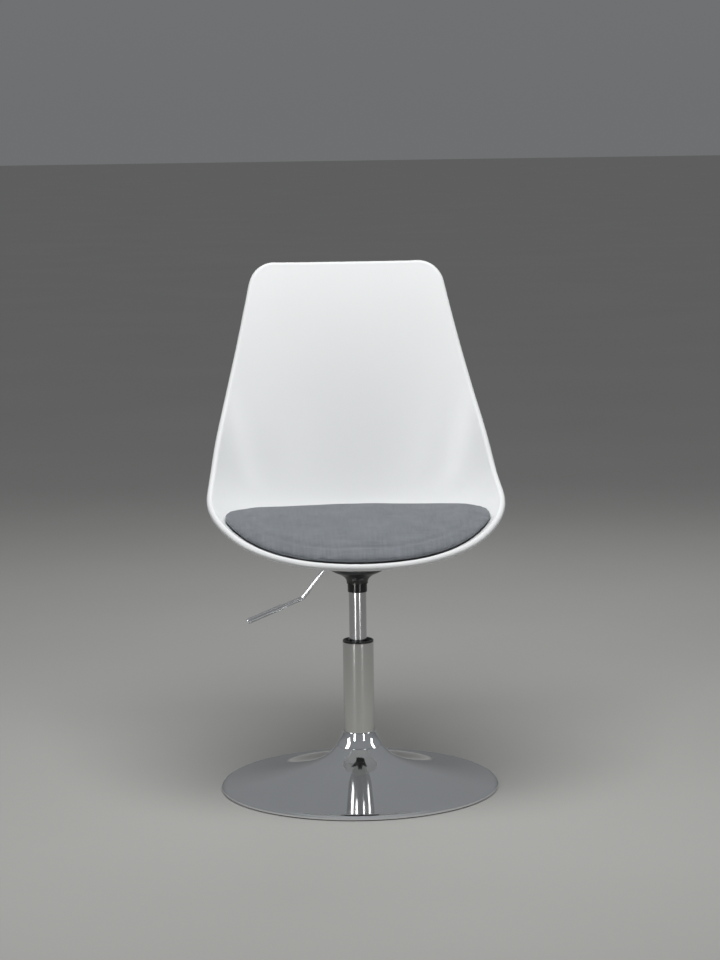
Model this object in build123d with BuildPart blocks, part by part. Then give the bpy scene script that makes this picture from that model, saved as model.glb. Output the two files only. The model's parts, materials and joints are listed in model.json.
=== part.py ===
from build123d import *
import os
from math import atan2, cos, hypot, radians, sin

# A swivel chair of the tulip kind on a trumpet base with a gas lift.
# Millimetres. Origin on the column axis at floor level, +Z up, the sitter faces -Y.

os.makedirs("parts", exist_ok=True)

# ---------------------------------------------------------------- driving sizes
BASE_RADIUS = 225
COLUMN_RADIUS = 25
COLUMN_TOP = 238
CYLINDER_RADIUS = 14
ROD_RADIUS = 5
FLOOR_HEIGHT = 388          # middle of the shell wall over the column axis
SHELL_WALL = 4.5
BEAD_RADIUS = 5.5
RUNNING = 0.05              # radial clearance of every running fit
LEVER_PIVOT = (-27, 369)    # x and z of the lever pin
BOLT_RADIUS = 3
NUT_RADIUS = 5.8            # across the corners of a hexagon
NUT_HEIGHT = 5

SHELL_UNDERSIDE = FLOOR_HEIGHT - SHELL_WALL / 2
SHELL_FLOOR = FLOOR_HEIGHT + SHELL_WALL / 2
PLATE_UNDERSIDE = SHELL_UNDERSIDE - 3.5


def ring(inner, outer, low, high, mode=Mode.ADD):
    """A plain disc or ring round the column axis."""
    with BuildSketch(Plane.XY.offset(low)) as section:
        Circle(outer)
        if inner:
            Circle(inner, mode=Mode.SUBTRACT)
    extrude(section.sketch, amount=high - low, mode=mode)


def turned(*outline):
    """A solid turned from a closed outline of (radius, height) corners."""
    with BuildSketch(Plane.XZ) as section:
        with BuildLine():
            Polyline(*outline, close=True)
        make_face()
    revolve(section.sketch, axis=Axis.Z)


def drilled(places, radius=BOLT_RADIUS, through=900):
    """Cuts the same round hole at every place."""
    with places:
        Cylinder(radius, through, mode=Mode.SUBTRACT)


def base_bolt_places():
    return PolarLocations(56, 4)


def seat_bolt_places():
    return PolarLocations(62, 4, start_angle=45)


# ---------------------------------------------------------------- trumpet base
SHEET = 2.6                 # pressed sheet, measured upright
SOCKET_TOP = 77             # where the socket, the trumpet and the collar meet the tube
TUBE_FOOT = 40
TRUMPET = [(28, SOCKET_TOP), (37, 67.6), (50, 53.5), (70, 41.2), (110, 28), (165, 16.2), (217, 9.2)]

with BuildPart() as trumpet_base:
    with BuildSketch(Plane.XZ):
        with BuildLine():
            skin = Spline(*TRUMPET)
            shoulder = TangentArc(skin @ 1, (BASE_RADIUS, 4.5), tangent=skin % 1)
            lip = Polyline(shoulder @ 1, (BASE_RADIUS, 1.5), (BASE_RADIUS - SHEET, 1.5),
                           (BASE_RADIUS - SHEET, 4), (217, 9.2 - SHEET))
            Spline(*[(radius, height - SHEET) for radius, height in reversed(TRUMPET)])
            Line((28, SOCKET_TOP - SHEET), (28, SOCKET_TOP))
        make_face()
    revolve(axis=Axis.Z)

with BuildPart() as base_edge_ring:
    ring(214, BASE_RADIUS - SHEET, 0, 3.8)

PLATE_LOW, PLATE_HIGH = 7, 13
FLANGE_TOP = 17

with BuildPart() as ballast_plate:
    ring(20, 150, PLATE_LOW, PLATE_HIGH)
    drilled(base_bolt_places())

with BuildPart() as column_socket:
    turned((20, PLATE_HIGH), (75, PLATE_HIGH), (75, FLANGE_TOP), (28, FLANGE_TOP), (28, SOCKET_TOP),
           (COLUMN_RADIUS, SOCKET_TOP), (COLUMN_RADIUS, TUBE_FOOT), (20, TUBE_FOOT))
    drilled(base_bolt_places())

with BuildPart() as base_bolts:
    with BuildSketch(Plane.XY.offset(PLATE_LOW)):
        with base_bolt_places():
            RegularPolygon(NUT_RADIUS, 6)
    extrude(amount=-4)
    with BuildSketch(Plane.XY.offset(PLATE_LOW)):
        with base_bolt_places():
            Circle(BOLT_RADIUS)
    extrude(amount=FLANGE_TOP + NUT_HEIGHT + 1.5 - PLATE_LOW)

with BuildPart() as base_nuts:
    with BuildSketch(Plane.XY.offset(FLANGE_TOP)):
        with base_bolt_places():
            RegularPolygon(NUT_RADIUS, 6)
            Circle(BOLT_RADIUS, mode=Mode.SUBTRACT)
    extrude(amount=NUT_HEIGHT)

# ---------------------------------------------------------------- column
with BuildPart() as column_collar:
    with BuildSketch(Plane.XZ):
        with BuildLine():
            flare = Spline((37.6, 68.2), (31.4, 79), (27.2, 91), tangents=((-0.45, 1), (-0.28, 1)))
            Polyline(flare @ 1, (COLUMN_RADIUS + 0.1, 91.6), (COLUMN_RADIUS + 0.1, 88),
                     (29.6, 79), (36.6, 68.2), flare @ 0)
        make_face()
    revolve(axis=Axis.Z)

COLUMN_BORE = COLUMN_RADIUS - 2
PLUG_TOP = TUBE_FOOT + 8
BUSH_BORE = CYLINDER_RADIUS + RUNNING
BUSH_FOOT = COLUMN_TOP - 43

with BuildPart() as column_tube:
    ring(COLUMN_BORE, COLUMN_RADIUS, TUBE_FOOT, COLUMN_TOP)

with BuildPart() as column_end_plug:
    ring(ROD_RADIUS + RUNNING, COLUMN_BORE, TUBE_FOOT, PLUG_TOP)

with BuildPart() as guide_bush:
    turned((BUSH_BORE, BUSH_FOOT), (COLUMN_BORE, BUSH_FOOT), (COLUMN_BORE, COLUMN_TOP),
           (COLUMN_RADIUS, COLUMN_TOP), (COLUMN_RADIUS, COLUMN_TOP + 2.6),
           (COLUMN_RADIUS - 0.8, COLUMN_TOP + 3.4), (COLUMN_RADIUS - 2.4, COLUMN_TOP + 3.4),
           (COLUMN_RADIUS - 4, COLUMN_TOP - 1.6), (BUSH_BORE, COLUMN_TOP - 1.6))

# ---------------------------------------------------------------- swivel bearing
RACE_HEIGHT = 2
BALL_RADIUS = 2
RACE_RADIUS = 13
BALL_MIDDLE = PLUG_TOP + RACE_HEIGHT + BALL_RADIUS
UPPER_RACE_FOOT = BALL_MIDDLE + BALL_RADIUS + 0.3
BUMPER_FOOT = UPPER_RACE_FOOT + RACE_HEIGHT
CLIP_LOW, CLIP_HIGH = 36.2, 37.4
CLIP_GROOVE = ROD_RADIUS - 0.8

with BuildPart() as bearing_lower_race:
    ring(7, RACE_RADIUS, PLUG_TOP, PLUG_TOP + RACE_HEIGHT)

with BuildPart() as bearing_balls:
    with Locations((0, 0, BALL_MIDDLE)):
        with PolarLocations(10, 14):
            Sphere(BALL_RADIUS)

with BuildPart() as bearing_upper_race:
    ring(ROD_RADIUS, RACE_RADIUS, UPPER_RACE_FOOT, BUMPER_FOOT)

with BuildPart() as rod_bumper:
    ring(ROD_RADIUS, 11, BUMPER_FOOT, BUMPER_FOOT + 11.4)
    fillet(rod_bumper.edges().group_by(Axis.Z)[-1].sort_by(SortBy.RADIUS)[-1], 2)

with BuildPart() as rod_washer:
    ring(ROD_RADIUS, 9, CLIP_HIGH + 0.3, CLIP_HIGH + 2.3)

with BuildPart() as rod_clip:
    ring(CLIP_GROOVE, 7.5, CLIP_LOW, CLIP_HIGH)
    with Locations((0, 6, CLIP_LOW)):
        Box(4, 12, 4, mode=Mode.SUBTRACT)

# ---------------------------------------------------------------- gas lift
CYLINDER_BORE = CYLINDER_RADIUS - 2
CYLINDER_FOOT = 138
CYLINDER_TOP = 352
CYLINDER_ROOF = CYLINDER_TOP - 3
ROD_TOP = 230
PIN_RADIUS = 3
PIN_BORE = PIN_RADIUS + RUNNING

with BuildPart() as piston_rod:
    ring(0, ROD_RADIUS, 32, ROD_TOP)
    ring(CLIP_GROOVE, ROD_RADIUS + 1, CLIP_LOW, CLIP_HIGH, mode=Mode.SUBTRACT)
    chamfer(piston_rod.edges().group_by(Axis.Z)[0], 0.8)

with BuildPart() as piston_head:
    ring(ROD_RADIUS, CYLINDER_BORE - RUNNING, ROD_TOP - 12, ROD_TOP)

with BuildPart() as gas_cylinder:
    turned((CYLINDER_BORE, CYLINDER_FOOT), (CYLINDER_RADIUS - 0.6, CYLINDER_FOOT),
           (CYLINDER_RADIUS, CYLINDER_FOOT + 0.6), (CYLINDER_RADIUS, CYLINDER_TOP), (PIN_BORE, CYLINDER_TOP),
           (PIN_BORE, CYLINDER_ROOF), (CYLINDER_BORE, CYLINDER_ROOF))

with BuildPart() as cylinder_seal_plug:
    ring(ROD_RADIUS + RUNNING, CYLINDER_BORE, CYLINDER_FOOT, CYLINDER_FOOT + 18)

with BuildPart() as valve_body:
    ring(0, CYLINDER_BORE, CYLINDER_ROOF - 41, CYLINDER_ROOF)
    ring(0, PIN_BORE, CYLINDER_ROOF - 31, CYLINDER_ROOF, mode=Mode.SUBTRACT)

with BuildPart() as release_pin:
    ring(0, PIN_RADIUS, CYLINDER_ROOF - 27, CYLINDER_TOP + 12.2)
    chamfer(release_pin.edges().group_by(Axis.Z)[0], 0.4)

# ---------------------------------------------------------------- hub and seat plate
NECK_FOOT = 320
BELL_FOOT = NECK_FOOT + 14
HUB_NECK = 15.2             # outer radius of the hub where the bell slips over it
HUB_RADIUS = 20
HUB_BORE = 11
BELL_RADIUS = 50
BELL_WALL = 2

with BuildPart() as neck_ring:
    ring(CYLINDER_RADIUS, 15.75, NECK_FOOT, BELL_FOOT)
    fillet(neck_ring.edges().filter_by(GeomType.CIRCLE).sort_by(SortBy.RADIUS)[-2:], 0.6)

with BuildPart() as seat_hub:
    turned((CYLINDER_RADIUS, BELL_FOOT + 2), (HUB_NECK, BELL_FOOT + 2), (HUB_NECK, CYLINDER_TOP),
           (HUB_RADIUS, CYLINDER_TOP), (HUB_RADIUS, PLATE_UNDERSIDE), (HUB_BORE, PLATE_UNDERSIDE),
           (HUB_BORE, CYLINDER_TOP), (CYLINDER_RADIUS, CYLINDER_TOP))
    with Locations((-15, 0, LEVER_PIVOT[1])):
        Box(14, 10, 18, mode=Mode.SUBTRACT)

PLATE_WIDTH = 116
PLATE_REACH = 132           # how far the plate's thinner tongue goes forward under the shell
PLATE_CORNER = 16
TONGUE_THICKNESS = 2.5      # leaves air under the bulge of the shell

with BuildPart() as seat_plate:
    with BuildSketch(Plane.XY.offset(PLATE_UNDERSIDE)):
        with Locations((0, (PLATE_WIDTH / 2 - PLATE_REACH) / 2)):
            RectangleRounded(PLATE_WIDTH, PLATE_REACH + PLATE_WIDTH / 2, PLATE_CORNER)
    extrude(amount=TONGUE_THICKNESS)
    with BuildSketch(Plane.XY.offset(PLATE_UNDERSIDE)):
        RectangleRounded(PLATE_WIDTH, PLATE_WIDTH, PLATE_CORNER)
    extrude(amount=SHELL_UNDERSIDE - PLATE_UNDERSIDE)
    with BuildSketch(Plane.XY.offset(PLATE_UNDERSIDE)):
        Circle(8)
        with seat_bolt_places():
            Circle(BOLT_RADIUS)
    extrude(amount=SHELL_UNDERSIDE - PLATE_UNDERSIDE, mode=Mode.SUBTRACT)

# pan heads under the plate, and flanged inserts on the floor of the shell that they screw into
INSERT_RADIUS = 9
INSERT_FLANGE = 1.6

with BuildPart() as seat_bolts:
    with BuildSketch(Plane.XY.offset(PLATE_UNDERSIDE)):
        with seat_bolt_places():
            Circle(5.5)
    extrude(amount=-3)
    fillet(seat_bolts.edges().group_by(Axis.Z)[0], 1.4)
    with BuildSketch(Plane.XY.offset(PLATE_UNDERSIDE)):
        with seat_bolt_places():
            Circle(BOLT_RADIUS)
    extrude(amount=SHELL_FLOOR + INSERT_FLANGE - PLATE_UNDERSIDE)

with BuildPart() as seat_nuts:
    with BuildSketch(Plane.XY.offset(SHELL_FLOOR)):
        with seat_bolt_places():
            Circle(INSERT_RADIUS)
            Circle(BOLT_RADIUS, mode=Mode.SUBTRACT)
    extrude(amount=INSERT_FLANGE)

# the bell that hides the lift head: a flared neck opening into a cup under the seat plate
BELL = [(17.25, BELL_FOOT), (18.2, 340), (25.5, 347.3), (35.5, 351.8), (44, 357), (48.8, 365), (BELL_RADIUS, 375)]
BELL_LINING = [(47.8, 368), (42.6, 359), (34, 353.8), (23.5, 349), (HUB_NECK + 0.1, 342), (HUB_NECK + 0.1, BELL_FOOT)]

with BuildPart() as bell_shroud:
    with BuildSketch(Plane.XZ):
        with BuildLine():
            outside = Spline(*BELL)
            Polyline(outside @ 1, (BELL_RADIUS, PLATE_UNDERSIDE), (BELL_RADIUS - BELL_WALL, PLATE_UNDERSIDE),
                     (BELL_RADIUS - BELL_WALL, 376), *BELL_LINING, outside @ 0)
        make_face()
    revolve(axis=Axis.Z)
    with Locations((-46, 0, 362)):
        Box(26, 13, 30, mode=Mode.SUBTRACT)

# ---------------------------------------------------------------- release lever
pivot_x, pivot_z = LEVER_PIVOT
BEND = (-88.5, 311)
LEVER_END = (-178, 274.4)
LEVER_ROD = 3.4
GRIP_RADIUS = 4.6
GRIP_START = 35             # from the bend to the sleeve
CAP_LENGTH = 2
LEVER_PIN = 2               # its radius
BRACKET_X = -28.25
BRACKET_LENGTH = 15.5
BRACKET_WIDTH = 14.2
EAR_WALL = 2.5
EAR_FOOT = 361
EAR_MIDDLE = (EAR_FOOT + PLATE_UNDERSIDE) / 2
EAR_OFFSET = (BRACKET_WIDTH - EAR_WALL) / 2
PIN_HEAD = BRACKET_WIDTH / 2 + 0.8

handle_length = hypot(LEVER_END[0] - BEND[0], LEVER_END[1] - BEND[1])
handle_dir = Vector(LEVER_END[0] - BEND[0], 0, LEVER_END[1] - BEND[1]).normalized()
bend_point = Vector(BEND[0], 0, BEND[1])


def across_handle(distance):
    """The plane square to the handle, this far past the bend."""
    return Plane(origin=bend_point + handle_dir * distance, x_dir=(0, 1, 0), z_dir=handle_dir)


with BuildPart() as lever_bracket:
    with Locations((BRACKET_X, EAR_OFFSET, EAR_MIDDLE), (BRACKET_X, -EAR_OFFSET, EAR_MIDDLE)):
        Box(BRACKET_LENGTH, EAR_WALL, PLATE_UNDERSIDE - EAR_FOOT)
    with Locations((BRACKET_X, 0, PLATE_UNDERSIDE - EAR_WALL / 2)):
        Box(BRACKET_LENGTH, BRACKET_WIDTH, EAR_WALL)
    with Locations((pivot_x, 0, pivot_z)):
        Cylinder(LEVER_PIN, 30, rotation=(90, 0, 0), mode=Mode.SUBTRACT)

with BuildPart() as lever_pin:
    with Locations((pivot_x, 0, pivot_z)):
        Cylinder(LEVER_PIN, BRACKET_WIDTH, rotation=(90, 0, 0))
    with Locations((pivot_x, PIN_HEAD, pivot_z), (pivot_x, -PIN_HEAD, pivot_z)):
        Cylinder(3.2, 1.6, rotation=(90, 0, 0))

with BuildPart() as lever_arm:
    with Locations((-16.5, 0, pivot_z)):
        Box(41, 8, 9)
    fillet(lever_arm.edges().filter_by(Axis.Y), 2)
    with Locations((pivot_x, 0, pivot_z)):
        Cylinder(LEVER_PIN + RUNNING, 30, rotation=(90, 0, 0), mode=Mode.SUBTRACT)

with BuildPart() as lever_rod:
    with BuildLine() as rod_path:
        FilletPolyline((-37, 0, pivot_z), (-42, 0, pivot_z), (BEND[0], 0, BEND[1]),
                       tuple(bend_point + handle_dir * (handle_length - CAP_LENGTH)), radius=8)
    with BuildSketch(Plane(origin=rod_path.line @ 0, z_dir=rod_path.line % 0)):
        Circle(LEVER_ROD)
    sweep()

with BuildPart() as lever_grip:
    with BuildSketch(across_handle(GRIP_START)):
        Circle(GRIP_RADIUS)
        Circle(LEVER_ROD, mode=Mode.SUBTRACT)
    extrude(amount=handle_length - CAP_LENGTH - GRIP_START)
    chamfer(lever_grip.edges().sort_by(Axis.X)[-1], 0.4)

with BuildPart() as lever_end_cap:
    with BuildSketch(across_handle(handle_length - CAP_LENGTH)):
        Circle(GRIP_RADIUS)
    extrude(amount=CAP_LENGTH + 0.6)
    fillet(lever_end_cap.edges().sort_by(Axis.X)[0], 2)

# ---------------------------------------------------------------- seat shell
# The shell is described as a height above a plane tilted back from the floor of the seat
# to the top edge: a centre line, and a rise to both sides that makes the bowl.
TILT = radians(40.5)
BOWL_HALF_WIDTH = 230
BOWL_SHARPNESS = 0.4        # how much of the side rise comes late, near the edge
PAD_RADIUS = 74             # flat seat for the plate under the shell
PAD_BLEND = 60

# the centre line: two nearly straight runs, the floor and the back, joined by a soft bend
FLOOR_SLOPE = -0.885        # of the floor in the tilted plane, which makes it nearly level
BACK_SLOPE = 0.92
BEND_PLACE = 142            # up the tilted plane
BEND_SOFTNESS = 62
BACK_RECLINE = 0.00042      # how fast the back leans away towards its top
RECLINE_FROM = 200
LIP_RISE = 0.0019           # how fast the front edge lifts
LIP_FROM = -70
SIDE_RISE = [(-185, 115), (-60, 97), (60, 101), (190, 117), (300, 76), (400, 42), (505, 20)]

tilted = Plane(origin=(0, 0, FLOOR_HEIGHT), x_dir=(1, 0, 0), z_dir=(0, -sin(TILT), cos(TILT)))


def natural_spline(stations):
    """The smoothest curve through (place, value) stations, as a function of the place."""
    places = [place for place, value in stations]
    values = [value for place, value in stations]
    last = len(stations) - 1
    spans = [places[i + 1] - places[i] for i in range(last)]
    steepness = [(values[i + 1] - values[i]) / spans[i] for i in range(last)]
    # forward sweep and back substitution for the bend at each station
    pivot, load = [1] * (last + 1), [0] * (last + 1)
    for i in range(1, last):
        carry = spans[i - 1] / pivot[i - 1] if i > 1 else 0
        pivot[i] = 2 * (spans[i - 1] + spans[i]) - carry * spans[i - 1]
        load[i] = 6 * (steepness[i] - steepness[i - 1]) - carry * load[i - 1]
    bend = [0] * (last + 1)
    for i in range(last - 1, 0, -1):
        bend[i] = (load[i] - spans[i] * bend[i + 1]) / pivot[i]

    def value_at(place):
        i = 0
        while i < last - 1 and place > places[i + 1]:
            i += 1
        span, after, before = spans[i], place - places[i], places[i + 1] - place
        return (
            (bend[i] * before**3 + bend[i + 1] * after**3) / (6 * span)
            + (values[i] / span - bend[i] * span / 6) * before
            + (values[i + 1] / span - bend[i + 1] * span / 6) * after
        )

    return value_at


side_rise = natural_spline(SIDE_RISE)


def centre_line(s):
    """How far the middle of the shell wall lies above the tilted plane on its centre line."""
    even = (BACK_SLOPE + FLOOR_SLOPE) / 2
    turn = (BACK_SLOPE - FLOOR_SLOPE) / 2
    height = even * s + turn * (hypot(s - BEND_PLACE, BEND_SOFTNESS) - hypot(BEND_PLACE, BEND_SOFTNESS))
    height -= BACK_RECLINE * max(s - RECLINE_FROM, 0) ** 2
    return height + LIP_RISE * max(LIP_FROM - s, 0) ** 2


def shell_point(x, s):
    """The middle of the shell wall, x across and s up the tilted plane."""
    bowl = (x / BOWL_HALF_WIDTH) ** 2
    late = 1 - BOWL_SHARPNESS + BOWL_SHARPNESS * bowl
    curved = centre_line(s) + side_rise(s) * bowl * late
    flat = -s * sin(TILT) / cos(TILT)
    away = (hypot(x, s / cos(TILT)) - PAD_RADIUS) / PAD_BLEND
    share = min(max(away, 0), 1)
    share = share * share * (3 - 2 * share)
    return tilted.from_local_coords(Vector(x, s, flat + (curved - flat) * share))


def shell_normal(x, s):
    """Square to the shell, on the sitter's side."""
    if hypot(x, s / cos(TILT)) < PAD_RADIUS + 0.01:
        return Vector(0, 0, 1)
    across = shell_point(x + 0.5, s) - shell_point(x - 0.5, s)
    along = shell_point(x, s + 0.5) - shell_point(x, s - 0.5)
    return across.cross(along).normalized()


def closed_curve(points):
    """A smooth closed wire; every wire of a loft shares the same spacing."""
    count = len(points)
    spacing = [i / count for i in range(count + 1)]
    return Wire([Edge.make_spline(points, periodic=True, parameters=spacing)])


def sewn(*skins):
    """One solid from skins that share their end rings, with a flat cap at each end."""
    faces = [Face(skins[0][0]), Face(skins[-1][-1])]
    for rings in skins:
        faces += Shell.make_loft(rings).faces()
    return Solid(Shell(faces))


TOP_EDGE = 494
TOP_CROWN = 3.5             # how far the top edge bows up in its middle

with BuildSketch(Plane.XY) as shell_outline:
    with BuildLine() as outline_edge:
        side_edge = Spline((0, -171), (122, -143), (186.5, -86), (221, -14), (232, 58), (228.5, 122),
                           (216, 210), (197.5, 300), (152, TOP_EDGE), tangents=((1, 0), (-0.235, 1)))
        mirror(side_edge, about=Plane.YZ)
        ThreePointArc(side_edge @ 1, (0, TOP_EDGE + TOP_CROWN), (-152, TOP_EDGE))
        fillet(outline_edge.vertices().group_by(Axis.Y)[-1], 40)
    make_face()

SAMPLES = 120
outline_wire = shell_outline.sketch.faces()[0].outer_wire()
outline = [outline_wire.position_at(i / SAMPLES) for i in range(SAMPLES)]


def pad_place(place):
    """The edge of the flat pad, in the same direction from the axis."""
    angle = atan2(place.Y / cos(TILT), place.X)
    return Vector(PAD_RADIUS * cos(angle), PAD_RADIUS * sin(angle) * cos(TILT))


def between(place, share):
    """From the edge of the flat pad (0) to a place on the shell (1)."""
    pad = pad_place(place)
    return pad + (place - pad) * share


def skin_ring(share, offset):
    """A ring of points on one skin of the shell."""
    points = []
    for place in outline:
        spot = between(place, share)
        points.append(shell_point(spot.X, spot.Y) + shell_normal(spot.X, spot.Y) * offset)
    return closed_curve(points)


BEAD_DROP = 3               # the bead hangs behind the shell, nearly flush on the sitter's side


def bead_ring(angle):
    """A ring of points round the rolled rim, at one angle of its round section."""
    rim = [shell_point(place.X, place.Y) for place in outline]
    points = []
    for i, place in enumerate(outline):
        tangent = (rim[(i + 1) % SAMPLES] - rim[i - 1]).normalized()
        up = shell_normal(place.X, place.Y)
        inward = up.cross(tangent).normalized()
        middle = between(place, 0.9)
        if inward.dot(shell_point(middle.X, middle.Y) - rim[i]) < 0:
            inward = inward * -1
        points.append(rim[i] - up * BEAD_DROP + (inward * cos(angle) + up * sin(angle)) * BEAD_RADIUS)
    return closed_curve(points)


SHARES = [0.94 * i / 15 for i in range(16)]
BEAD_START, BEAD_END, BEAD_STEP = 75, 325, 25   # degrees of its round that show

bead_rings = [bead_ring(radians(angle)) for angle in range(BEAD_START, BEAD_END + 1, BEAD_STEP)]
inner_rings = [skin_ring(share, SHELL_WALL / 2) for share in SHARES] + [bead_rings[0]]
outer_rings = [bead_rings[-1]] + [skin_ring(share, -SHELL_WALL / 2) for share in reversed(SHARES)]

with BuildPart() as seat_shell:
    add(sewn(inner_rings, bead_rings, outer_rings))
    drilled(seat_bolt_places())

# ---------------------------------------------------------------- seat cushion
CUSHION_TOP = 454
CUSHION_LIFT = 3            # over the inserts
CUSHION_GAP = 1.2           # to the shell near its edge
CUSHION_EDGE = 4.5          # its drawn-in edge over the shell
SHOULDER_LIFT = 8
CROWN_FLAT = 0.18           # share of the way to the edge over which the top is level
CROWN_POWER = 2.2           # how late the crown falls away past that

with BuildSketch(Plane.XY) as cushion_outline:
    with BuildLine() as cushion_line:
        cushion_half = Spline((0, -167.5), (122, -138.8), (184.5, -83.5), (217.5, -14), (216, 26), (196, 72),
                              (155, 104), (90, 124), (0, 131), tangents=((1, 0), (-1, 0)))
        mirror(cushion_half, about=Plane.YZ)
    make_face()

cushion_wire = cushion_outline.sketch.faces()[0].outer_wire()
CUSHION_SAMPLES = 60
cushion_edge = [cushion_wire.position_at(i / CUSHION_SAMPLES) for i in range(CUSHION_SAMPLES)]


def cushion_under(share, lift):
    """A ring of points under the cushion, clear of the shell."""
    points = []
    for place in cushion_edge:
        spot = between(place, share)
        points.append(shell_point(spot.X, spot.Y)
                      + shell_normal(spot.X, spot.Y) * (SHELL_WALL / 2 + lift))
    return closed_curve(points)


def cushion_over(share):
    """A ring of points on the crowned top of the cushion."""
    points = []
    for place in cushion_edge:
        up = shell_normal(place.X, place.Y)
        rim = shell_point(place.X, place.Y) + up * (SHELL_WALL / 2 + SHOULDER_LIFT)
        fall = ((share - CROWN_FLAT) / (1 - CROWN_FLAT)) ** CROWN_POWER
        height = CUSHION_TOP + (rim.Z - CUSHION_TOP) * fall
        points.append(Vector(rim.X * share, rim.Y * share, height))
    return closed_curve(points)


under_rings = [cushion_under(share / 4, CUSHION_LIFT) for share in range(4)]
under_rings.append(cushion_under(0.955, CUSHION_GAP))
edge_rings = [under_rings[-1], cushion_under(1, CUSHION_EDGE), cushion_over(0.98)]
over_rings = [edge_rings[-1]] + [cushion_over(share) for share in (0.82, 0.66, 0.5, 0.34, CROWN_FLAT)]

with BuildPart() as seat_cushion:
    add(sewn(under_rings, edge_rings, over_rings))

PAD_HEIGHT = 2.6

with BuildPart() as cushion_pads:
    with Locations((0, 0, SHELL_FLOOR + PAD_HEIGHT / 2)):
        with PolarLocations(46, 4):
            Box(18, 18, PAD_HEIGHT)

# ---------------------------------------------------------------- hand over
PARTS = {
    "trumpet_base": trumpet_base, "base_edge_ring": base_edge_ring, "ballast_plate": ballast_plate,
    "column_socket": column_socket, "base_bolts": base_bolts, "base_nuts": base_nuts,
    "column_collar": column_collar, "column_tube": column_tube, "column_end_plug": column_end_plug,
    "guide_bush": guide_bush, "bearing_lower_race": bearing_lower_race, "bearing_balls": bearing_balls,
    "bearing_upper_race": bearing_upper_race, "rod_bumper": rod_bumper, "rod_washer": rod_washer,
    "rod_clip": rod_clip, "piston_rod": piston_rod, "piston_head": piston_head,
    "gas_cylinder": gas_cylinder, "cylinder_seal_plug": cylinder_seal_plug, "valve_body": valve_body,
    "release_pin": release_pin, "neck_ring": neck_ring, "seat_hub": seat_hub, "seat_plate": seat_plate,
    "seat_bolts": seat_bolts, "seat_nuts": seat_nuts, "bell_shroud": bell_shroud,
    "lever_bracket": lever_bracket, "lever_pin": lever_pin, "lever_arm": lever_arm,
    "lever_rod": lever_rod, "lever_grip": lever_grip, "lever_end_cap": lever_end_cap,
    "seat_shell": seat_shell, "seat_cushion": seat_cushion, "cushion_pads": cushion_pads,
}

for name, piece in PARTS.items():
    piece.part.label = name
    export_step(piece.part, f"parts/{name}.step")
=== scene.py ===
import json
import math

import bpy
from mathutils import Matrix, Vector


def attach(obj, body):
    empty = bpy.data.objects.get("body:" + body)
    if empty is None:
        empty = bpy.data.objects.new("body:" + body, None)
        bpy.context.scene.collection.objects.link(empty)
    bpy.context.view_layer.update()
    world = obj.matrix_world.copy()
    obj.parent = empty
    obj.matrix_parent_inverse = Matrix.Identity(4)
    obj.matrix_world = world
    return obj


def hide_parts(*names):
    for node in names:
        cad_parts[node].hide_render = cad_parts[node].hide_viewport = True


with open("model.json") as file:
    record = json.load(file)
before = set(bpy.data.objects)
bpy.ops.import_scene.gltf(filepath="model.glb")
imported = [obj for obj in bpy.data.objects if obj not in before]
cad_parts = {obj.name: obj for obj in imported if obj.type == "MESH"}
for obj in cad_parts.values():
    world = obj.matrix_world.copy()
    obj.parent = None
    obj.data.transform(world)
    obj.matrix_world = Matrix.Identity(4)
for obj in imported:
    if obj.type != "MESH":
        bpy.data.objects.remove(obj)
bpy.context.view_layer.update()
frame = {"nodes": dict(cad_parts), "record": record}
nodes = frame["nodes"]


# ---------------------------------------------------------------- small tools for node materials
def new_material(name):
    """An empty material with a Principled shader, and its node tree."""
    material = bpy.data.materials.new(name)
    material.use_nodes = True
    tree = material.node_tree
    return material, tree, tree.nodes["Principled BSDF"]


def set_inputs(node, **values):
    """Sets a node's inputs by name, with _ for a space."""
    for key, value in values.items():
        node.inputs[key.replace("_", " ")].default_value = value


def texture(tree, kind, scale, stretch=(1, 1, 1), **settings):
    """A texture node laid over the piece's own coordinates."""
    place = tree.nodes.new("ShaderNodeTexCoord")
    mapping = tree.nodes.new("ShaderNodeMapping")
    mapping.inputs["Scale"].default_value = stretch
    tree.links.new(place.outputs["Object"], mapping.inputs["Vector"])
    node = tree.nodes.new(kind)
    node.inputs["Scale"].default_value = scale
    for key, value in settings.items():
        if hasattr(node, key):
            setattr(node, key, value)
        else:
            node.inputs[key.replace("_", " ")].default_value = value
    tree.links.new(mapping.outputs["Vector"], node.inputs["Vector"])
    return node


def spread(tree, source, low, high):
    """Maps a 0-1 value to a range."""
    node = tree.nodes.new("ShaderNodeMapRange")
    node.inputs["To Min"].default_value = low
    node.inputs["To Max"].default_value = high
    tree.links.new(source, node.inputs["Value"])
    return node.outputs["Result"]


def blend_colors(tree, share, first, second):
    """Mixes two colours by a 0-1 value."""
    node = tree.nodes.new("ShaderNodeMix")
    node.data_type = "RGBA"
    tree.links.new(share, node.inputs["Factor"])
    node.inputs["A"].default_value = (*first, 1)
    node.inputs["B"].default_value = (*second, 1)
    return node.outputs["Result"]


def relief(tree, shader, height, strength, depth):
    """Bumps the surface by a height value."""
    node = tree.nodes.new("ShaderNodeBump")
    node.inputs["Strength"].default_value = strength
    node.inputs["Distance"].default_value = depth
    tree.links.new(height, node.inputs["Height"])
    tree.links.new(node.outputs["Normal"], shader.inputs["Normal"])


def arithmetic(tree, operation, *values):
    """A math node on sockets and plain numbers."""
    node = tree.nodes.new("ShaderNodeMath")
    node.operation = operation
    for place, value in enumerate(values):
        if isinstance(value, (int, float)):
            node.inputs[place].default_value = value
        else:
            tree.links.new(value, node.inputs[place])
    return node.outputs["Value"]


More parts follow.
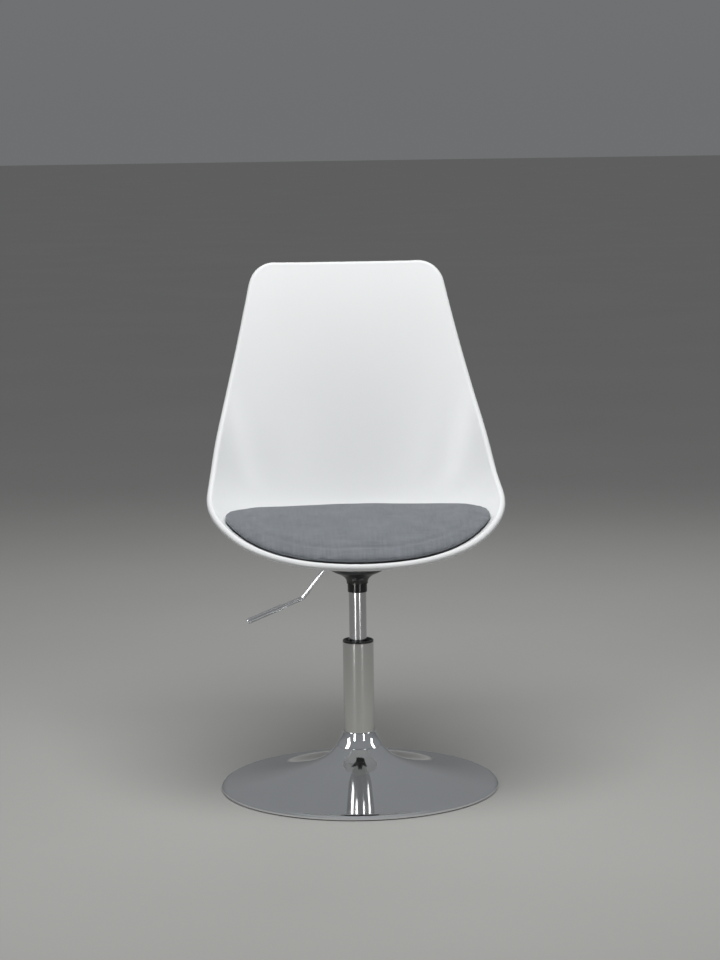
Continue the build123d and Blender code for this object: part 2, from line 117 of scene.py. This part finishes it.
# ---------------------------------------------------------------- materials
def moulded_plastic(name, first, second, roughness, grain=900):
    """A moulding with a faint pebble in the gloss."""
    material, tree, shader = new_material(name)
    cloud = texture(tree, "ShaderNodeTexNoise", 6, Detail=3)
    tree.links.new(blend_colors(tree, cloud.outputs["Fac"], first, second), shader.inputs["Base Color"])
    gloss = texture(tree, "ShaderNodeTexNoise", 25, Detail=4)
    tree.links.new(spread(tree, gloss.outputs["Fac"], *roughness), shader.inputs["Roughness"])
    pebble = texture(tree, "ShaderNodeTexNoise", grain, Detail=2)
    relief(tree, shader, pebble.outputs["Fac"], 0.12, 0.0003)
    set_inputs(shader, IOR=1.5)
    return material


def plated_metal(name, first, second, roughness, smear, scratches):
    """Polished or satin metal with faint handling marks."""
    material, tree, shader = new_material(name)
    shader.inputs["Metallic"].default_value = 1
    cloud = texture(tree, "ShaderNodeTexNoise", 14, smear, Detail=4)
    tree.links.new(blend_colors(tree, cloud.outputs["Fac"], first, second), shader.inputs["Base Color"])
    wear = texture(tree, "ShaderNodeTexNoise", 60, smear, Detail=6)
    tree.links.new(spread(tree, wear.outputs["Fac"], *roughness), shader.inputs["Roughness"])
    fine = texture(tree, "ShaderNodeTexNoise", 420, smear, Detail=3)
    relief(tree, shader, fine.outputs["Fac"], scratches, 0.0002)
    return material


THREAD = 0.0011             # from one thread to the next, in metres
THREAD_WANDER = 0.0005


def woven_fabric(name, first, second):
    """A plain weave of two crossing threads seen from above, with slubs and mixed yarn."""
    material, tree, shader = new_material(name)
    turns = 2 * math.pi / THREAD
    place = tree.nodes.new("ShaderNodeTexCoord")
    wobble = texture(tree, "ShaderNodeTexNoise", 120, Detail=2)
    shift = tree.nodes.new("ShaderNodeVectorMath")
    shift.operation = "MULTIPLY_ADD"
    shift.inputs[1].default_value = (THREAD_WANDER,) * 3
    tree.links.new(wobble.outputs["Color"], shift.inputs[0])
    tree.links.new(place.outputs["Object"], shift.inputs[2])
    parts = tree.nodes.new("ShaderNodeSeparateXYZ")
    tree.links.new(shift.outputs["Vector"], parts.inputs["Vector"])
    warp = arithmetic(tree, "SINE", arithmetic(tree, "MULTIPLY", parts.outputs["X"], turns))
    weft = arithmetic(tree, "SINE", arithmetic(tree, "MULTIPLY", parts.outputs["Y"], turns))
    weave = arithmetic(tree, "MULTIPLY_ADD", arithmetic(tree, "MULTIPLY", warp, weft), 0.5, 0.5)
    slubs_across = texture(tree, "ShaderNodeTexNoise", 90, (0.25, 4, 4), Detail=3)
    slubs_along = texture(tree, "ShaderNodeTexNoise", 90, (4, 0.25, 0.25), Detail=3)
    slubs = arithmetic(tree, "ADD", slubs_across.outputs["Fac"], slubs_along.outputs["Fac"])
    mottle = texture(tree, "ShaderNodeTexNoise", 30, Detail=5)
    tone = arithmetic(tree, "MULTIPLY", weave, 0.2)
    tone = arithmetic(tree, "MULTIPLY_ADD", slubs, 0.28, tone)
    tone = arithmetic(tree, "MULTIPLY_ADD", mottle.outputs["Fac"], 0.25, tone)
    tree.links.new(blend_colors(tree, tone, first, second), shader.inputs["Base Color"])
    set_inputs(shader, Roughness=0.94, Sheen_Weight=0.15, Sheen_Roughness=0.5, Specular_IOR_Level=0.25)
    relief(tree, shader, arithmetic(tree, "ADD", weave, slubs), 0.5, 0.0005)
    return material


# each look is two colours to wander between, then the range of its roughness
PLASTICS = {
    "shell_plastic": ((0.79, 0.80, 0.805), (0.82, 0.83, 0.832), (0.30, 0.40)),
    "black_plastic": ((0.010, 0.010, 0.009), (0.022, 0.022, 0.02), (0.24, 0.38)),
    "black_gloss": ((0.006, 0.006, 0.006), (0.012, 0.012, 0.012), (0.12, 0.22)),
    "rubber": ((0.014, 0.014, 0.014), (0.03, 0.029, 0.028), (0.6, 0.8), 500),
    "ballast_iron": ((0.02, 0.02, 0.02), (0.05, 0.045, 0.04), (0.5, 0.75), 300),
    "plate_paint": ((0.008, 0.008, 0.008), (0.02, 0.02, 0.02), (0.4, 0.55), 600),
}
EVEN = (1, 1, 1)
DRAWN = (1, 1, 0.12)        # marks run along the tube
GROUND = (1, 1, 9)          # marks run round the cylinder
METALS = {
    "chrome": ((0.76, 0.77, 0.79), (0.82, 0.83, 0.85), (0.04, 0.08), EVEN, 0.012),
    "chrome_satin": ((0.55, 0.55, 0.54), (0.63, 0.63, 0.62), (0.10, 0.17), DRAWN, 0.03),
    "cylinder_steel": ((0.54, 0.54, 0.56), (0.62, 0.62, 0.64), (0.13, 0.2), GROUND, 0.03),
    "zinc_steel": ((0.45, 0.46, 0.47), (0.58, 0.58, 0.56), (0.28, 0.45), EVEN, 0.1),
    "polished_rod": ((0.62, 0.62, 0.63), (0.7, 0.7, 0.7), (0.08, 0.16), EVEN, 0.04),
    "valve_brass": ((0.55, 0.40, 0.17), (0.66, 0.5, 0.24), (0.2, 0.35), EVEN, 0.04),
}
FABRICS = {
    "pad_fabric": ((0.01, 0.01, 0.012), (0.03, 0.03, 0.034)),
    "seat_fabric": ((0.06, 0.066, 0.075), (0.31, 0.33, 0.355)),
}

materials = {}
for makes, looks in ((moulded_plastic, PLASTICS), (plated_metal, METALS), (woven_fabric, FABRICS)):
    for name, look in looks.items():
        materials[name] = makes(name, *look)

slots = {entry["node"]: entry["material_slot"] for entry in frame["record"]["subparts"]}
for name, node in nodes.items():
    node.data.materials.clear()
    node.data.materials.append(materials[slots[name]])


# ---------------------------------------------------------------- the cushion
CUSHION_MIDDLE = Vector((0, -0.03, 0.43))
CUSHION_VOXEL = 0.005
CUSHION_SHRINK = 0.998
CUSHION_CAP = 0.0025        # how far a point may swell
CLOTH_FRAMES = 20
SECTORS = 90                # slices round the pad in which its edge is measured
FOLD_SHARE = 0.885          # where the fold over the front edge lies, as a share of the way out
FOLD_WIDTH = 0.022
FOLD_DEPTH = 0.0016
ROLL_SHARE = FOLD_SHARE - 2.6 * FOLD_WIDTH  # the soft roll just behind the fold
ROLL_WIDTH = 1.8 * FOLD_WIDTH
TUCKS = 46                  # small tucks round the edge
TUCK_DEPTH = 0.0005
TUCK_FROM = 0.9             # the share of the way out where the tucks begin


def baked(piece):
    """Turns a piece's modifiers into its own mesh."""
    settled = piece.evaluated_get(bpy.context.evaluated_depsgraph_get())
    piece.data = bpy.data.meshes.new_from_object(settled)
    piece.modifiers.clear()


def swell(piece):
    """Puffs a closed skin up as cloth, and keeps each point near where it started."""
    start = [vertex.co.copy() for vertex in piece.data.vertices]
    cloth = piece.modifiers.new("cloth", "CLOTH")
    settings = cloth.settings
    settings.quality = 6
    settings.mass = 0.3
    settings.tension_stiffness = 12
    settings.compression_stiffness = 12
    settings.shear_stiffness = 6
    settings.bending_stiffness = 0.4
    settings.use_pressure = True
    settings.uniform_pressure_force = 4
    settings.effector_weights.gravity = 0
    scene = bpy.context.scene
    for frame_number in range(1, CLOTH_FRAMES + 1):
        scene.frame_set(frame_number)
    baked(piece)
    scene.frame_set(1)
    for vertex, first in zip(piece.data.vertices, start):
        move = vertex.co - first
        if move.length > CUSHION_CAP:
            move = move.normalized() * CUSHION_CAP
        vertex.co = first + move


def polar(point):
    """A point's angle round the middle of the pad, and its distance from it."""
    offset = point - CUSHION_MIDDLE
    return math.atan2(offset.y, offset.x) % (2 * math.pi), math.hypot(offset.x, offset.y)


def edge_distances(vertices):
    """How far the pad reaches in each slice."""
    reach = [0.0] * SECTORS
    for vertex in vertices:
        angle, radius = polar(vertex.co)
        sector = int(angle / (2 * math.pi) * SECTORS) % SECTORS
        reach[sector] = max(reach[sector], radius)
    return reach


def edge_at(reach, angle):
    """The pad's reach at an angle, blended between the two nearest slices."""
    turn = angle / (2 * math.pi) * SECTORS - 0.5
    first = math.floor(turn)
    share = turn - first
    return reach[first % SECTORS] * (1 - share) + reach[(first + 1) % SECTORS] * share


def fold_and_tuck(piece):
    """Presses a fold over the front edge and small tucks round the rim into the pad's upper side.

    These are shaped by formula; the cloth simulation doesn't make them.
    """
    reach = edge_distances(piece.data.vertices)
    moves = []
    for vertex in piece.data.vertices:
        angle, radius = polar(vertex.co)
        share = radius / edge_at(reach, angle)
        front = max(0, -math.sin(angle)) ** 0.5
        above = 1 if vertex.normal.z > 0.1 else 0
        fold = math.exp(-(((share - FOLD_SHARE) / FOLD_WIDTH) ** 2))
        roll = math.exp(-(((share - ROLL_SHARE) / ROLL_WIDTH) ** 2))
        outer = max(0, share - TUCK_FROM) / (1 - TUCK_FROM)
        tuck = math.sin(TUCKS * angle + 2 * math.sin(5 * angle)) * outer
        drift = math.sin(3 * angle + 1) * math.sin(17 * share + 2 * math.sin(2 * angle))
        move = (0.4 * roll - fold) * FOLD_DEPTH * front + (tuck + 0.4 * drift) * TUCK_DEPTH
        moves.append(vertex.normal * move * above)
    for vertex, move in zip(piece.data.vertices, moves):
        vertex.co += move


def soft_cushion():
    """The seat pad: a crowned form with a fold along its front and tucks round its edge."""
    source = nodes["seat_cushion"]
    mesh = source.data.copy()
    mesh.transform(source.matrix_world)
    piece = bpy.data.objects.new("seat_pad", mesh)
    bpy.context.scene.collection.objects.link(piece)
    remesh = piece.modifiers.new("remesh", "REMESH")
    remesh.mode = "VOXEL"
    remesh.voxel_size = CUSHION_VOXEL
    baked(piece)
    for vertex in piece.data.vertices:
        vertex.co = CUSHION_MIDDLE + (vertex.co - CUSHION_MIDDLE) * CUSHION_SHRINK
    swell(piece)
    even = piece.modifiers.new("even", "SMOOTH")
    even.factor = 0.5
    even.iterations = 6
    finer = piece.modifiers.new("finer", "SUBSURF")
    finer.levels = 1
    baked(piece)
    fold_and_tuck(piece)
    piece.data.polygons.foreach_set("use_smooth", [True] * len(piece.data.polygons))
    piece.data.materials.clear()
    piece.data.materials.append(materials["seat_fabric"])
    return piece


cushion = soft_cushion()
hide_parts("seat_cushion")
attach(cushion, "seat")


# ---------------------------------------------------------------- stage, light and camera
FLOOR_SIZE = 120


def pale_floor():
    """A plain pale studio floor, wide enough to meet the horizon, with no gloss to mirror the lights."""
    bpy.ops.mesh.primitive_plane_add(size=FLOOR_SIZE)
    floor = bpy.context.object
    floor.name = "floor"
    material, tree, shader = new_material("floor")
    cloud = texture(tree, "ShaderNodeTexNoise", 1.3, Detail=5)
    color = blend_colors(tree, cloud.outputs["Fac"], (0.40, 0.395, 0.38), (0.44, 0.435, 0.42))
    tree.links.new(color, shader.inputs["Base Color"])
    set_inputs(shader, Roughness=0.8, Specular_IOR_Level=0)
    floor.data.materials.append(material)


LIGHT_TARGET = Vector((0, 0, 0.5))


def soft_light(name, azimuth, elevation, distance, size, power, diffuse=True, glossy=True):
    """A soft box at these angles from the chair; azimuth 0 is in front, -90 on the lever's side.

    A light that isn't glossy leaves no reflection, and one that isn't diffuse is only a reflection.
    """
    data = bpy.data.lights.new(name, "AREA")
    data.shape = "RECTANGLE"
    data.size, data.size_y = size
    data.energy = power
    light = bpy.data.objects.new(name, data)
    bpy.context.scene.collection.objects.link(light)
    turn, rise = math.radians(azimuth), math.radians(elevation)
    away = Vector((math.sin(turn) * math.cos(rise), -math.cos(turn) * math.cos(rise), math.sin(rise)))
    light.location = LIGHT_TARGET + away * distance
    light.rotation_euler = (-away).to_track_quat("-Z", "Y").to_euler()
    light.visible_camera = False
    light.visible_diffuse = diffuse
    light.visible_glossy = glossy


# brightness of the room at a height, from 0 at the horizon to 1 overhead
ROOM_LEVELS = [(0.0, 0.16), (0.08, 0.17), (0.3, 0.24), (0.85, 0.26), (1.0, 0.40)]


def room_light():
    """A plain grey room, paler overhead, which also shows above the floor's horizon."""
    world = bpy.data.worlds.new("room")
    world.use_nodes = True
    bpy.context.scene.world = world
    tree = world.node_tree
    place = tree.nodes.new("ShaderNodeTexCoord")
    parts = tree.nodes.new("ShaderNodeSeparateXYZ")
    tree.links.new(place.outputs["Generated"], parts.inputs["Vector"])
    ramp = tree.nodes.new("ShaderNodeValToRGB")
    tree.links.new(parts.outputs["Z"], ramp.inputs["Fac"])
    elements = ramp.color_ramp.elements
    while len(elements) < len(ROOM_LEVELS):
        elements.new(0.5)
    for (position, level), element in zip(ROOM_LEVELS, elements):
        element.position = position
        element.color = (level * 0.97, level, level * 1.02, 1)
    background = tree.nodes["Background"]
    tree.links.new(ramp.outputs["Color"], background.inputs["Color"])


pale_floor()
room_light()
# key and back light the chair; the strips and panels are only there for the chrome to reflect
soft_light("key", -4, 68, 1.7, (1.5, 0.9), 31, glossy=False)
soft_light("left_strip", -34, 2, 1.6, (0.20, 1.1), 9, diffuse=False)
soft_light("right_strip", 26, 2, 1.6, (0.12, 1.1), 4.5, diffuse=False)
soft_light("left_panel", -75, 20, 1.9, (0.5, 0.9), 9, diffuse=False)
soft_light("right_panel", 80, 20, 1.9, (0.35, 0.9), 5, diffuse=False)
soft_light("back", 170, 35, 2.6, (2.0, 1.0), 14, glossy=False)
bpy.context.scene.view_settings.view_transform = "Standard"

# the camera, in metres and radians
CAMERA_DISTANCE = 4.2
CAMERA_HEIGHT = 1.08
CAMERA_AZIMUTH = math.radians(-2.5)
CAMERA_PITCH = math.radians(7.847)
CAMERA_ROLL = math.radians(0.8)
SENSOR_HEIGHT = 36          # millimetres, as is the lens
LENS = 99.21
COLUMN_OFFSET = 0.00427     # how far the column stands beside the middle, as a share of the height

camera_data = bpy.data.cameras.new("camera")
camera_data.sensor_fit = "VERTICAL"
camera_data.sensor_height = SENSOR_HEIGHT
camera_data.lens = LENS
camera_data.shift_x = COLUMN_OFFSET
camera = bpy.data.objects.new("camera", camera_data)
bpy.context.scene.collection.objects.link(camera)
camera_place = Vector((
    CAMERA_DISTANCE * math.sin(CAMERA_AZIMUTH),
    -CAMERA_DISTANCE * math.cos(CAMERA_AZIMUTH),
    CAMERA_HEIGHT,
))
camera.matrix_world = (
    Matrix.Translation(camera_place)
    @ Matrix.Rotation(CAMERA_AZIMUTH, 4, "Z")
    @ Matrix.Rotation(math.pi / 2 - CAMERA_PITCH, 4, "X")
    @ Matrix.Rotation(-CAMERA_ROLL, 4, "Z")
)
bpy.context.scene.camera = camera
